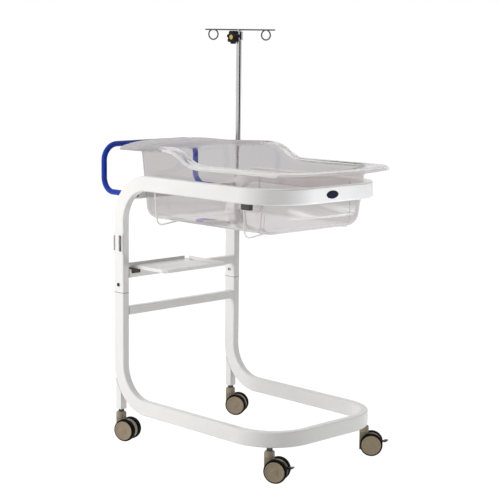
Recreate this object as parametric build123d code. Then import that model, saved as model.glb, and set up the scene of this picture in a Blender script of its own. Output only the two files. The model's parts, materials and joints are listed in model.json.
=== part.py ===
# Hospital bassinet: a clear tub on two wire cradles in a bent tube frame, on four twin wheel casters,
# with a push handle, a small shelf and a telescopic drip pole. Millimetres, +Z up.
# The model is drawn with X = 0 in the middle of the frame, Y = 0 at the rear of the uprights, the foot
# end towards -Y and the floor at Z = 0. It is then moved so that the origin is on the floor under the
# middle of the whole bassinet's box.
import os
from math import asin, cos, radians, sin, sqrt, tan

from build123d import *

# Frame, driving sizes
frame_width = 540.0
frame_length = 762.0
frame_top = 912.0
base_clearance = 107.0
tube_width = 26.5
tube_depth = 50.0
tube_wall = 1.5
tube_corner = 5.0
side_bend_radius = 160.0
plan_bend_radius = 160.0
seam_height = 509.5

# Joint of the two frame halves
sleeve_reach = 50.0
sleeve_wall = 3.0
sleeve_gap = 0.3
joint_bolt_height = 536.0

# Crossbars between the uprights
bar_depth = 25.0
bar_height = 28.0
bar_corner = 3.0
lower_bar_z = 447.0
shelf_bar_z = 574.0
top_bar_drop = 74.0
bar_front = 50.0

# Rear caster posts and caster stems
post_side = 25.0
post_wall = 2.0
rear_stem_y = -22.0
front_stem_reach = 150.0
front_stem_angle = 42.0
stem_radius = 5.0
stem_nut_radius = 10.0
stem_nut_height = 9.3
stem_grip = 26.0
socket_radius = 8.5
socket_height = 28.0
stem_in_hood = 24.0

# Casters
wheel_radius = 37.5
wheel_width = 22.0
wheel_gap = 18.6
tyre_thickness = 8.5
tyre_rounding = 4.0
cover_radius = 33.5
cover_thickness = 2.2
cover_rounding = 1.2
cover_recess = 1.0
axle_radius = 4.0
hub_bore_clearance = 0.06
caster_trail = 25.0
neck_radius = 15.0
neck_bottom = 77.0
neck_rounding = 3.0
hood_gap = 0.6
hood_radius = 34.0
hood_cut_height = 17.0
hood_wheel_gap = 1.0
swivel_clearance = 0.06
front_left_caster_turn = 29.0
front_right_caster_turn = 40.0
rear_left_caster_turn = 20.0
rear_right_caster_turn = 32.0

# Brake pedals of the front casters
pedal_pivot_trail = 34.0
pedal_pivot_z = 50.0
pedal_pin_radius = 2.0
pedal_arm_width = 6.0
pedal_arm_thickness = 8.0
pedal_slot_gap = 0.6
pedal_plate_width = 20.0
pedal_plate_start = 66.0
pedal_plate_end = 79.0
pedal_plate_z = 46.0
pedal_tip_rise = 5.0
pedal_plate_thickness = 5.0

# Push handle
handle_radius = 9.8
handle_wall = 1.5
handle_inset = 33.5
handle_reach = 125.0
handle_rise = 84.0
handle_low_radius = 48.0
handle_top_radius = 55.0
handle_bolt_drop = 1.0
plug_length = 22.0

# Fasteners
bolt_radius = 3.0
bolt_clearance = 0.3
bolt_head_radius = 6.0
bolt_head_height = 3.5
nut_radius = 5.5
nut_height = 5.0

# Wire cradles
wire_radius = 2.5
wire_corner = 22.0
wire_blend = 60.0
wire_leg_drop = 15.0
wire_corner_drop = 12.0
wire_dip_run = 91.0
rear_wire_top_y = -175.0
rear_wire_y = -190.0
front_wire_top_y = -596.0
front_wire_y = -602.0
weld_gap = 0.05

# Clips at the front cradle
clip_length = 40.0
clip_height = 20.0
clip_width = 16.0
clip_corner = 3.0
clip_grip = 6.0

# Tub
tub_wall = 4.0
tub_drop = 150.0
tub_edge_radius = 39.0
tub_side_gap = 31.5
tub_rear = -80.0
tub_front = -683.0
tub_corner = 45.0
side_draft = 1.0
head_draft = 7.0
foot_draft = 9.0
rim_inset = 13.0
rim_rear = 57.0
rim_rear_bow = 30.0
rim_front = -812.0
rim_front_bow = 26.0
rim_rear_corner = 34.0
rim_front_corner = 60.0
rim_head_rise = 86.0
rim_shoulder_y = -235.0
rim_shoulder_rise = 100.0
rim_low_y = -400.0
rim_low_rise = 51.0
rim_foot_rise = 55.0
lip_depth = 22.0

# Shelf tray and its clips
tray_side_gap = 23.5
tray_width = 280.0
tray_depth = 205.0
tray_thickness = 1.5
tray_lip = 11.0
tray_notch = 12.0
tray_clip_width = 37.0
tray_clip_inset = 4.0
tray_clip_wall = 2.2
tray_clip_leg = 14.0
tray_clip_gap = 0.3
tray_screw_radius = 2.0
tray_screw_head = 4.0
tray_screw_head_height = 1.6

# Slot plate on the near upright
slot_plate_rear = 2.0
slot_plate_width = 50.0
slot_plate_height = 66.0
slot_plate_drop = 235.0
slot_plate_thickness = 2.5
slot_plate_corner = 2.0
rear_slot_y = -6.5
rear_slot_width = 8.0
rear_slot_length = 50.0
front_slot_y = -36.0
front_slot_width = 15.0
front_slot_length = 54.0
slot_corner = 1.0

# Badge on the front bar
badge_side = -20.0
badge_width = 52.0
badge_height = 25.0
badge_thickness = 1.5

# Drip pole and its socket
pole_offset = 12.0
pole_y = -23.0
pole_radius = 9.5
pole_wall = 1.5
pole_bottom_drop = 138.0
pole_length = 609.0
socket_gap = 0.3
iv_socket_wall = 2.6
iv_socket_floor = 3.0
iv_socket_height = 76.0
iv_plate_thickness = 4.0
iv_plate_front = -82.0
iv_plate_corner = 4.0
iv_bolt_low_y = -44.0
iv_bolt_low_rise = 14.0
iv_bolt_high_y = -66.0
iv_bolt_high_rise = 62.0
collar_radius = 14.5
collar_height = 31.0
collar_edge = 1.2
rod_gap = 0.4
rod_socket_gap = 6.0
hanger_rise = 6.0
hanger_radius = 2.5
hanger_turn = 20.7
hanger_loop_reach = 103.0
hanger_loop_radius = 17.5
hanger_loop_shift = 6.0
hanger_tail = 33.0

# Star knob
knob_drop = 20.0
knob_radius = 24.0
knob_lobes = 7
knob_lobe_radius = 6.6
knob_core_radius = 18.5
knob_depth = 19.0
knob_rounding = 2.4
knob_collar_gap = 1.0
knob_hub_radius = 9.0
knob_hub_depth = 4.0
knob_cap_radius = 8.5
knob_cap_depth = 5.0
knob_cap_proud = 1.0
knob_stud_radius = 3.0
knob_stud_clearance = 0.06
knob_stud_grip = 10.0
stud_tip_gap = 0.4

cut_overrun = 5.0

# Places worked out from the sizes above
rail_x = (frame_width - tube_width) / 2
inner_x = frame_width / 2 - tube_width
base_rail_z = base_clearance + tube_depth / 2
top_rail_z = frame_top - tube_depth / 2
bend_centre_rise = side_bend_radius - tube_depth / 2
base_bend_z = base_rail_z + bend_centre_rise
top_bend_z = top_rail_z - bend_centre_rise
corner_y = -(frame_length - plan_bend_radius)
corner_x = frame_width / 2 - plan_bend_radius
bar_y = -(bar_front - bar_depth / 2)
bar_rear_y = bar_depth - bar_front
rail_inner_drop = frame_top - tube_depth
top_bar_z = frame_top - top_bar_drop
handle_half_width = inner_x - handle_inset
handle_top = frame_top + handle_rise
handle_bolt_z = top_bar_z - handle_bolt_drop
tub_bottom = frame_top - tub_drop
wire_leg_top = frame_top - wire_leg_drop
wire_corner_z = tub_bottom - wire_corner_drop
tub_half_width = inner_x - tub_side_gap
rim_half_width = frame_width / 2 - rim_inset
rim_head_z = frame_top + rim_head_rise
rim_shoulder_z = frame_top + rim_shoulder_rise
rim_low_z = frame_top + rim_low_rise
rim_foot_z = frame_top + rim_foot_rise
tray_left = tray_side_gap - inner_x
slot_plate_z = frame_top - slot_plate_drop
pole_x = frame_width / 2 + pole_offset
pole_bottom = frame_top - pole_bottom_drop
pole_top = pole_bottom + pole_length
iv_socket_top = pole_bottom + iv_socket_height
collar_bottom = pole_top - collar_height
rod_bottom = iv_socket_top + rod_socket_gap
hanger_z = pole_top + hanger_rise
knob_z = pole_top - knob_drop


def span(low, high):
    """Box between two corners."""
    size = [high[axis] - low[axis] for axis in range(3)]
    middle = [(high[axis] + low[axis]) / 2 for axis in range(3)]
    return Pos(*middle) * Box(*size)


def rod(radius, start, end):
    """Round bar between two points."""
    reach = Vector(*end) - Vector(*start)
    return extrude(Plane(origin=start, z_dir=reach) * Circle(radius), amount=reach.length)


def pill(width, length, depth, corner, centre):
    """Upright plate in a plane across X, rounded at its corners, from centre towards -X by its depth."""
    plane = Plane(origin=centre, x_dir=(0, 1, 0), z_dir=(-1, 0, 0))
    return extrude(plane * RectangleRounded(width, length, corner), amount=depth)


def group(shapes):
    """Several separate solids that share a node."""
    solids = []
    for shape in shapes:
        solids.extend(shape.solids())
    return Compound(children=solids)


# Frame halves
def frame_section(inset):
    return RectangleRounded(tube_width - 2 * inset, tube_depth - 2 * inset, tube_corner - inset)


def frame_tube(rail_z, bend_z, way, inset, overrun):
    """One half of the frame. way is -1 for the base, which bends down, and 1 for the top."""
    pieces = []
    upright_length = way * (bend_z - seam_height) + overrun
    for side in (-1, 1):
        x = side * rail_x
        upright_plane = Plane(origin=(x, -tube_depth / 2, bend_z), z_dir=(0, 0, -way))
        pieces.append(extrude(upright_plane * frame_section(inset), amount=upright_length))
        bend_axis = Axis((x, -side_bend_radius, bend_z), (way, 0, 0))
        pieces.append(revolve(upright_plane * frame_section(inset), bend_axis, 90))
        rail_plane = Plane(origin=(x, -side_bend_radius, rail_z), x_dir=(1, 0, 0), z_dir=(0, -1, 0))
        rail_length = -corner_y - side_bend_radius
        pieces.append(extrude(rail_plane * frame_section(inset), amount=rail_length))
        corner_plane = Plane(origin=(x, corner_y, rail_z), x_dir=(1, 0, 0), z_dir=(0, -1, 0))
        corner_axis = Axis((side * corner_x, corner_y, rail_z), (0, 0, -side))
        pieces.append(revolve(corner_plane * frame_section(inset), corner_axis, 90))
    front_y = tube_width / 2 - frame_length
    front_plane = Plane(origin=(-corner_x, front_y, rail_z), x_dir=(0, 1, 0), z_dir=(1, 0, 0))
    pieces.append(extrude(front_plane * frame_section(inset), amount=2 * corner_x))
    whole = pieces[0]
    for piece in pieces[1:]:
        whole = whole + piece
    return whole


def make_base_tube():
    tube = frame_tube(base_rail_z, base_bend_z, -1, 0, 0)
    tube = tube - frame_tube(base_rail_z, base_bend_z, -1, tube_wall, cut_overrun)
    for x, y in front_stems:
        low = (x, y, base_clearance - cut_overrun)
        tube = tube - rod(socket_radius, low, (x, y, base_clearance + 2 * tube_wall))
    return tube


def make_top_tube():
    tube = frame_tube(top_rail_z, top_bend_z, 1, 0, 0)
    tube = tube - frame_tube(top_rail_z, top_bend_z, 1, tube_wall, cut_overrun)
    hole = bolt_radius + bolt_clearance
    for side in (-1, 1):
        start = (side * (inner_x - cut_overrun), -tube_depth / 2, joint_bolt_height)
        end = (side * (frame_width / 2 + cut_overrun), -tube_depth / 2, joint_bolt_height)
        tube = tube - rod(hole, start, end)
    for y, z in iv_bolt_places:
        tube = tube - rod(hole, (frame_width / 2 - 2 * tube_wall, y, z), (frame_width / 2 + cut_overrun, y, z))
    for slot in accessory_slots(frame_width / 2 - 2 * tube_wall, 2 * tube_wall + cut_overrun):
        tube = tube - slot
    return tube


def accessory_slots(start, depth):
    """The two upright slots of the near upright, as cutting blocks that start at -X = start."""
    places = (
        (rear_slot_y, rear_slot_width, rear_slot_length),
        (front_slot_y, front_slot_width, front_slot_length),
    )
    return [pill(width, length, depth, slot_corner, (-start, y, slot_plate_z)) for y, width, length in places]


def make_slot_plate():
    middle_y = slot_plate_rear - slot_plate_width / 2
    face = (-frame_width / 2, middle_y, slot_plate_z)
    plate = pill(slot_plate_width, slot_plate_height, slot_plate_thickness, slot_plate_corner, face)
    for slot in accessory_slots(frame_width / 2 - cut_overrun, slot_plate_thickness + 2 * cut_overrun):
        plate = plate - slot
    return plate


# Joint of the halves
def make_joint_sleeve(side):
    inset = tube_wall + sleeve_gap
    x = side * rail_x
    low_plane = Plane(origin=(x, -tube_depth / 2, seam_height - sleeve_reach))
    outer = extrude(low_plane * frame_section(inset), amount=2 * sleeve_reach)
    inner_plane = low_plane.offset(-cut_overrun)
    core_length = 2 * (sleeve_reach + cut_overrun)
    sleeve = outer - extrude(inner_plane * frame_section(inset + sleeve_wall), amount=core_length)
    start = (side * inner_x, -tube_depth / 2, joint_bolt_height)
    end = (side * frame_width / 2, -tube_depth / 2, joint_bolt_height)
    return sleeve - rod(bolt_radius + bolt_clearance, start, end)


def cap_bolt(face, direction, length):
    """Button head bolt: its head sits on face and its shank runs from there along direction."""
    face = Vector(*face)
    direction = Vector(*direction)
    head_plane = Plane(origin=face, z_dir=-direction)
    head = extrude(head_plane * Circle(bolt_head_radius), amount=bolt_head_height)
    head = fillet(head.faces().sort_by(Axis(face, -direction))[-1].edges(), bolt_head_height / 2)
    return head + rod(bolt_radius, tuple(face), tuple(face + direction * length))


def make_joint_bolt(side):
    face = (side * frame_width / 2, -tube_depth / 2, joint_bolt_height)
    return cap_bolt(face, (-side, 0, 0), tube_width + nut_height)


def make_joint_nut(side):
    start = (side * inner_x, -tube_depth / 2, joint_bolt_height)
    plane = Plane(origin=start, z_dir=(-side, 0, 0))
    nut = extrude(plane * RegularPolygon(nut_radius, 6), amount=nut_height)
    end = (side * (inner_x - nut_height), -tube_depth / 2, joint_bolt_height)
    return nut - rod(bolt_radius + weld_gap, start, end)


# Crossbars
def crossbar_solid(height, inset, length):
    plane = Plane(origin=(-length / 2, bar_y, height), x_dir=(0, 1, 0), z_dir=(1, 0, 0))
    section = RectangleRounded(bar_depth - 2 * inset, bar_height - 2 * inset, bar_corner - inset)
    return extrude(plane * section, amount=length)


def make_crossbar(height):
    bar = crossbar_solid(height, 0, 2 * inner_x)
    return bar - crossbar_solid(height, tube_wall, 2 * (inner_x + cut_overrun))


def make_top_crossbar():
    bar = make_crossbar(top_bar_z)
    for side in (-1, 1):
        start = (side * handle_half_width, -bar_front - cut_overrun, handle_bolt_z)
        end = (side * handle_half_width, bar_rear_y + cut_overrun, handle_bolt_z)
        bar = bar - rod(bolt_radius + bolt_clearance, start, end)
    return bar


# Caster posts, sockets and stems
front_stems = [
    (
        side * (corner_x + front_stem_reach * cos(radians(front_stem_angle))),
        corner_y - front_stem_reach * sin(radians(front_stem_angle)),
    )
    for side in (-1, 1)
]
rear_stems = [(side * rail_x, rear_stem_y) for side in (-1, 1)]


def make_rear_post(x, y):
    half = post_side / 2
    post = span((x - half, y - half, base_clearance), (x + half, y + half, base_bend_z))
    inner = half - post_wall
    bottom = base_clearance - cut_overrun
    post = post - span((x - inner, y - inner, bottom), (x + inner, y + inner, base_bend_z + cut_overrun))
    # The top follows the underside of the frame's bend.
    bend_start = (x - tube_width, -side_bend_radius, base_bend_z)
    bend_end = (x + tube_width, -side_bend_radius, base_bend_z)
    post = post - rod(side_bend_radius + weld_gap, bend_start, bend_end)
    return post


def make_front_socket(x, y):
    socket = rod(socket_radius - weld_gap, (x, y, base_clearance), (x, y, base_clearance + socket_height))
    top = (x, y, base_clearance + stem_grip + cut_overrun / 2)
    return socket - rod(stem_radius + weld_gap, (x, y, base_clearance - cut_overrun), top)


def make_rear_socket(x, y):
    half = post_side / 2 - post_wall - weld_gap
    top = base_clearance + socket_height
    socket = span((x - half, y - half, base_clearance), (x + half, y + half, top))
    hole_top = (x, y, base_clearance + stem_grip + cut_overrun / 2)
    socket = socket - rod(stem_radius + weld_gap, (x, y, base_clearance - cut_overrun), hole_top)
    bend_start = (x - tube_width, -side_bend_radius, base_bend_z)
    bend_end = (x + tube_width, -side_bend_radius, base_bend_z)
    return socket - rod(side_bend_radius + weld_gap, bend_start, bend_end)


def make_caster_stem(x, y):
    low = base_clearance - stem_nut_height
    nut = extrude(Plane(origin=(x, y, low)) * RegularPolygon(stem_nut_radius, 6), amount=stem_nut_height)
    return nut + rod(stem_radius, (x, y, low - stem_in_hood), (x, y, base_clearance + stem_grip))


# Casters, drawn with the stem's axis at X = Y = 0, the wheels' axle along X and trailing towards -Y
hood_top = base_clearance - stem_nut_height - hood_gap


def place_caster(shape, stem, turn):
    return Pos(stem[0], stem[1], 0) * Rot(0, 0, turn) * shape


def make_hood(with_pedal):
    neck = rod(neck_radius, (0, 0, neck_bottom), (0, 0, hood_top))
    neck = fillet(neck.faces().sort_by(Axis.Z)[-1].edges(), neck_rounding)
    web_half = wheel_gap / 2 - hood_wheel_gap
    disc = rod(hood_radius, (-web_half, -caster_trail, wheel_radius), (web_half, -caster_trail, wheel_radius))
    column = span((-web_half, -neck_radius, hood_cut_height), (web_half, neck_radius, hood_top - neck_rounding))
    hood = neck + disc + column
    hood = hood - span(
        (-2 * neck_radius, -caster_trail - 2 * hood_radius, 0),
        (2 * neck_radius, 2 * neck_radius, hood_cut_height),
    )
    swivel_bore = stem_radius + swivel_clearance
    bore_bottom = base_clearance - stem_nut_height - stem_in_hood - hood_gap
    hood = hood - rod(swivel_bore, (0, 0, bore_bottom), (0, 0, hood_top + cut_overrun))
    bore_half = web_half + cut_overrun
    axle_centre = (-caster_trail, wheel_radius)
    hood = hood - rod(axle_radius, (-bore_half, *axle_centre), (bore_half, *axle_centre))
    if with_pedal:
        slot_half = pedal_arm_width / 2 + pedal_slot_gap
        slot_low = pedal_pivot_z - 2 * pedal_arm_thickness
        slot_high = pedal_pivot_z + 2 * pedal_arm_thickness
        slot_start = pedal_pivot_trail - pedal_arm_thickness
        hood = hood - span(
            (-slot_half, -caster_trail - 2 * hood_radius, slot_low),
            (slot_half, -slot_start, slot_high),
        )
        pin_bore = pedal_pin_radius + swivel_clearance
        pin = (-pedal_pivot_trail, pedal_pivot_z)
        hood = hood - rod(pin_bore, (-bore_half, *pin), (bore_half, *pin))
    return hood


def make_axle():
    half = wheel_gap / 2 + wheel_width - cover_thickness - cover_recess
    return rod(axle_radius, (-half, -caster_trail, wheel_radius), (half, -caster_trail, wheel_radius))


def ring(outer, inner, start, end):
    """Ring about the wheel axle, from X = start to X = end."""
    body = rod(outer, (start, -caster_trail, wheel_radius), (end, -caster_trail, wheel_radius))
    if inner > 0:
        low = min(start, end) - cut_overrun
        high = max(start, end) + cut_overrun
        body = body - rod(inner, (low, -caster_trail, wheel_radius), (high, -caster_trail, wheel_radius))
    return body


def make_tyre(side):
    start = side * wheel_gap / 2
    end = side * (wheel_gap / 2 + wheel_width - cover_thickness / 2)
    tyre = rod(wheel_radius, (start, -caster_trail, wheel_radius), (end, -caster_trail, wheel_radius))
    rims = tyre.edges().filter_by(GeomType.CIRCLE)
    tyre = fillet(rims, tyre_rounding)
    tyre_inner = wheel_radius - tyre_thickness
    low = min(start, end) - cut_overrun
    high = max(start, end) + cut_overrun
    tyre = tyre - rod(tyre_inner, (low, -caster_trail, wheel_radius), (high, -caster_trail, wheel_radius))
    cover_start = side * (wheel_gap / 2 + wheel_width - cover_thickness)
    seat = ring(cover_radius, 0, cover_start, side * (wheel_gap / 2 + wheel_width + cut_overrun))
    return tyre - seat


def make_wheel_hub(side):
    start = side * wheel_gap / 2
    cover_start = side * (wheel_gap / 2 + wheel_width - cover_thickness)
    end = side * (wheel_gap / 2 + wheel_width)
    barrel = ring(wheel_radius - tyre_thickness, 0, start, cover_start)
    cover = ring(cover_radius, 0, cover_start, end)
    faces = cover.faces().sort_by(Axis.X)
    cover = fillet((faces[-1] if side > 0 else faces[0]).edges(), cover_rounding)
    hub = barrel + cover
    bore_end = side * (wheel_gap / 2 + wheel_width - cover_thickness - cover_recess + weld_gap)
    bore_start = start - side * cut_overrun
    centre = (-caster_trail, wheel_radius)
    return hub - rod(axle_radius + hub_bore_clearance, (bore_start, *centre), (bore_end, *centre))


def make_pedal():
    half = pedal_arm_width / 2
    pivot = (-pedal_pivot_trail, pedal_pivot_z)
    arm_half = pedal_arm_thickness / 2
    boss = rod(arm_half, (-half, *pivot), (half, *pivot))
    side_plane = Plane(origin=(-half, 0, 0), x_dir=(0, 1, 0), z_dir=(1, 0, 0))
    plate_low = pedal_plate_z - pedal_plate_thickness / 2
    plate_high = pedal_plate_z + pedal_plate_thickness / 2
    arm_outline = Polyline(
        (pivot[0], pivot[1] + arm_half),
        (pivot[0], pivot[1] - arm_half),
        (-pedal_plate_start, plate_low),
        (-pedal_plate_start - pedal_plate_thickness, plate_low),
        (-pedal_plate_start, plate_high),
        close=True,
    )
    arm = extrude(side_plane * make_face(arm_outline), amount=pedal_arm_width)
    plate_outline = Polyline(
        (-pedal_plate_start, plate_low),
        (-pedal_plate_end, plate_low + pedal_tip_rise),
        (-pedal_plate_end, plate_low + pedal_tip_rise + pedal_plate_thickness / 2),
        (-pedal_plate_start, plate_high),
        close=True,
    )
    plate_plane = Plane(origin=(-pedal_plate_width / 2, 0, 0), x_dir=(0, 1, 0), z_dir=(1, 0, 0))
    plate = extrude(plate_plane * make_face(plate_outline), amount=pedal_plate_width)
    plate = fillet(plate.edges().filter_by(Axis.Z).sort_by(Axis.Y)[:2], pedal_plate_thickness)
    pin_half = wheel_gap / 2 - hood_wheel_gap
    pin = rod(pedal_pin_radius, (-pin_half, *pivot), (pin_half, *pivot))
    return boss + arm + plate + pin


# Push handle
def handle_points():
    low = (handle_bolt_z, handle_top)
    left = (-handle_half_width, handle_half_width)
    return [
        (left[0], bar_rear_y, low[0]),
        (left[0], handle_reach, low[0]),
        (left[0], handle_reach, low[1]),
        (left[1], handle_reach, low[1]),
        (left[1], handle_reach, low[0]),
        (left[1], bar_rear_y, low[0]),
    ]


def make_push_handle():
    radii = (handle_low_radius, handle_top_radius, handle_top_radius, handle_low_radius)
    path = FilletPolyline(*handle_points(), radius=radii)
    section_plane = Plane(origin=handle_points()[0], z_dir=(0, 1, 0))
    outer = sweep(section_plane * Circle(handle_radius), path=path)
    return outer - sweep(section_plane * Circle(handle_radius - handle_wall), path=path)


def make_handle_plug(side):
    x = side * handle_half_width
    start = (x, bar_rear_y, handle_bolt_z)
    plug = rod(handle_radius - handle_wall - weld_gap, start, (x, bar_rear_y + plug_length, handle_bolt_z))
    hole_end = (x, bar_rear_y + plug_length - nut_height / 2, handle_bolt_z)
    return plug - rod(bolt_radius + weld_gap, (x, bar_rear_y - cut_overrun, handle_bolt_z), hole_end)


def make_handle_bolt(side):
    face = (side * handle_half_width, -bar_front, handle_bolt_z)
    return cap_bolt(face, (0, 1, 0), bar_depth + plug_length - nut_height)


# Wire cradles
leg_x = inner_x - wire_radius - weld_gap
wire_dip_end = leg_x - wire_dip_run
wire_flat_z = tub_bottom - wire_radius - bolt_clearance


def make_cradle(top_y, bottom_y):
    slope = (top_y - bottom_y) / (wire_leg_top - wire_corner_z)
    flat_y = bottom_y + slope * (wire_flat_z - wire_corner_z)
    points = [
        (-leg_x, top_y, wire_leg_top),
        (-leg_x, bottom_y, wire_corner_z),
        (-wire_dip_end, flat_y, wire_flat_z),
        (wire_dip_end, flat_y, wire_flat_z),
        (leg_x, bottom_y, wire_corner_z),
        (leg_x, top_y, wire_leg_top),
    ]
    path = FilletPolyline(*points, radius=(wire_corner, wire_blend, wire_blend, wire_corner))
    start_direction = Vector(*points[1]) - Vector(*points[0])
    return sweep(Plane(origin=points[0], z_dir=start_direction) * Circle(wire_radius), path=path)


def make_cradle_clip(side):
    slope = (front_wire_top_y - front_wire_y) / (wire_leg_top - wire_corner_z)
    clip_top = rail_inner_drop
    wire_y = front_wire_y + slope * (clip_top - clip_height / 2 - wire_corner_z)
    rear = wire_y + clip_grip
    inner = leg_x - clip_grip
    low = (min(side * inner, side * (inner + clip_width)), rear - clip_length, clip_top - clip_height)
    high = (max(side * inner, side * (inner + clip_width)), rear, clip_top)
    clip = span(low, high)
    clip = fillet(clip.edges().filter_by(Axis.Z), clip_corner)
    wire_start = (side * leg_x, front_wire_y, wire_corner_z)
    wire_end = (side * leg_x, front_wire_top_y, wire_leg_top)
    return clip - rod(wire_radius + weld_gap, wire_start, wire_end)


# Tub
def tub_outline(height, inset):
    """Rounded outline of the tub's walls at a height over its underside, drawn in by inset."""
    half = tub_half_width + height * tan(radians(side_draft)) - inset
    rear = tub_rear + height * tan(radians(head_draft)) - inset
    front = tub_front - height * tan(radians(foot_draft)) + inset
    plane = Plane(origin=(0, (rear + front) / 2, tub_bottom + height))
    return plane * RectangleRounded(2 * half, rear - front, tub_corner - inset)


def tub_form(wall, top):
    """Solid of the tub's outside, or of its inside when wall is the wall's thickness."""
    radius = tub_edge_radius - wall
    sections = []
    steps = 4
    for step in range(steps + 1):
        angle = radians(90 * step / steps)
        sections.append(tub_outline(wall + radius * (1 - cos(angle)), wall + radius * (1 - sin(angle))))
    sections.append(tub_outline(top, wall))
    return loft(sections, ruled=True)


def under_rim(drop):
    """All that lies under the rim's side view, lowered by drop."""
    fall = rim_shoulder_z - rim_low_z
    run = rim_shoulder_y - rim_low_y
    radius = (run * run + fall * fall) / (4 * fall)
    half_angle = asin(run / 2 / radius) / 2
    across = radius * sin(half_angle)
    down = radius * (1 - cos(half_angle))
    middle = ((rim_shoulder_y + rim_low_y) / 2, (rim_shoulder_z + rim_low_z) / 2 - drop)
    shoulder = (rim_shoulder_y, rim_shoulder_z - drop)
    low = (rim_low_y, rim_low_z - drop)
    head_end = (rim_rear + cut_overrun, rim_head_z - drop)
    foot_end = (rim_front - cut_overrun, rim_foot_z - drop)
    bottom = tub_bottom - cut_overrun
    lines = [
        Line(head_end, shoulder),
        ThreePointArc(shoulder, (shoulder[0] - across, shoulder[1] - down), middle),
        ThreePointArc(middle, (low[0] + across, low[1] + down), low),
        Line(low, foot_end),
        Line(foot_end, (foot_end[0], bottom)),
        Line((foot_end[0], bottom), (head_end[0], bottom)),
        Line((head_end[0], bottom), head_end),
    ]
    half = rim_half_width + cut_overrun
    plane = Plane(origin=(-half, 0, 0), x_dir=(0, 1, 0), z_dir=(1, 0, 0))
    return extrude(plane * make_face(Wire(lines)), amount=2 * half)


def rim_prism(inset, low, high):
    """Upright prism on the rim's plan outline: straight sides, bowed ends and rounded corners."""
    half = rim_half_width - inset
    rear = rim_rear - inset
    front = rim_front + inset
    rear_side = rear - rim_rear_bow
    front_side = front + rim_front_bow
    lines = [
        Line((-half, front_side), (-half, rear_side)),
        ThreePointArc((-half, rear_side), (0, rear), (half, rear_side)),
        Line((half, rear_side), (half, front_side)),
        ThreePointArc((half, front_side), (0, front), (-half, front_side)),
    ]
    outline = make_face(Wire(lines))
    corners = outline.vertices().sort_by(Axis.Y)
    outline = fillet(corners[:2], rim_front_corner - inset)
    corners = outline.vertices().sort_by(Axis.Y)
    outline = fillet(corners[-2:], rim_rear_corner - inset)
    return extrude(Plane(origin=(0, 0, low)) * outline, amount=high - low)


def make_tub():
    top = rim_shoulder_z - tub_bottom + cut_overrun
    inside = tub_form(tub_wall, top + cut_overrun)
    shell = (tub_form(0, top) - inside) & under_rim(0)
    rim = rim_prism(0, tub_bottom, rim_shoulder_z + cut_overrun) & under_rim(0)
    rim = rim - under_rim(lip_depth)
    hollow = rim_prism(tub_wall, tub_bottom, rim_shoulder_z) & under_rim(tub_wall)
    rim = rim - hollow - inside
    return shell + rim


# Shelf tray
tray_bottom = shelf_bar_z + bar_height / 2 + tray_clip_gap + tray_clip_wall
clip_half = tray_clip_width / 2
tray_clip_xs = (
    tray_left + tray_clip_inset,
    tray_left + tray_width - tray_clip_inset,
)


def make_tray():
    right = tray_left + tray_width
    sheet_top = tray_bottom + tray_thickness
    lip_top = tray_bottom + tray_lip
    tray = span((tray_left, -tray_depth, tray_bottom), (right, 0, sheet_top))
    for x in (tray_left, right - tray_thickness):
        low = (x, tray_notch - tray_depth, tray_bottom)
        tray = tray + span(low, (x + tray_thickness, -tray_notch, lip_top))
    for y in (-tray_depth, -tray_thickness):
        low = (tray_left + tray_notch, y, tray_bottom)
        tray = tray + span(low, (right - tray_notch, y + tray_thickness, lip_top))
    upright_edges = tray.edges().filter_by(Axis.Z)
    corners = [edge for edge in upright_edges if edge.length < 2 * tray_thickness]
    tray = fillet(ShapeList(corners).sort_by(Axis.X)[:2] + ShapeList(corners).sort_by(Axis.X)[-2:], tray_notch / 2)
    for x, y in tray_screw_places():
        hole = tray_screw_radius + weld_gap
        tray = tray - rod(hole, (x, y, tray_bottom - cut_overrun), (x, y, sheet_top + cut_overrun))
    return tray


def tray_screw_places():
    inward = clip_half / 2
    xs = (tray_clip_xs[0] + inward, tray_clip_xs[1] - inward)
    return [(x, bar_y) for x in xs]


def make_tray_clip(x):
    """Saddle over the shelf crossbar: a web on top and a leg down the front and the rear."""
    gap = tray_clip_gap
    wall = tray_clip_wall
    bar_top = shelf_bar_z + bar_height / 2
    bar_bottom = shelf_bar_z - bar_height / 2
    outer_low = (x - clip_half, -bar_front - gap - wall, bar_bottom - gap - wall)
    clip = span(outer_low, (x + clip_half, bar_rear_y + gap + wall, tray_bottom))
    hollow_low = (x - clip_half - cut_overrun, -bar_front - gap, bar_bottom - gap)
    clip = clip - span(hollow_low, (x + clip_half + cut_overrun, bar_rear_y + gap, bar_top + gap))
    # The front leg stops short, and the rear leg hooks under the bar.
    front_low = (x - clip_half - cut_overrun, -bar_front - gap - wall - cut_overrun, outer_low[2] - cut_overrun)
    front_high = (x + clip_half + cut_overrun, bar_y, bar_top - tray_clip_leg)
    clip = clip - span(front_low, front_high)
    for screw_x, screw_y in tray_screw_places():
        if abs(screw_x - x) < clip_half:
            low = (screw_x, screw_y, bar_top)
            clip = clip - rod(tray_screw_radius + weld_gap, low, (screw_x, screw_y, tray_bottom + cut_overrun))
    return clip


def make_tray_screw(x, y):
    top = tray_bottom + tray_thickness
    head = rod(tray_screw_head, (x, y, top), (x, y, top + tray_screw_head_height))
    head = fillet(head.faces().sort_by(Axis.Z)[-1].edges(), tray_screw_head_height / 2)
    return head + rod(tray_screw_radius, (x, y, tray_bottom - tray_clip_wall), (x, y, top))


# Badge
def make_badge():
    plane = Plane(origin=(badge_side, -frame_length, top_rail_z), x_dir=(1, 0, 0), z_dir=(0, -1, 0))
    badge = extrude(plane * Ellipse(badge_width / 2, badge_height / 2), amount=badge_thickness)
    return fillet(badge.faces().sort_by(Axis.Y)[0].edges(), badge_thickness / 2)


# Drip pole
iv_bolt_places = (
    (iv_bolt_low_y, pole_bottom + iv_bolt_low_rise),
    (iv_bolt_high_y, pole_bottom + iv_bolt_high_rise),
)


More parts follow.
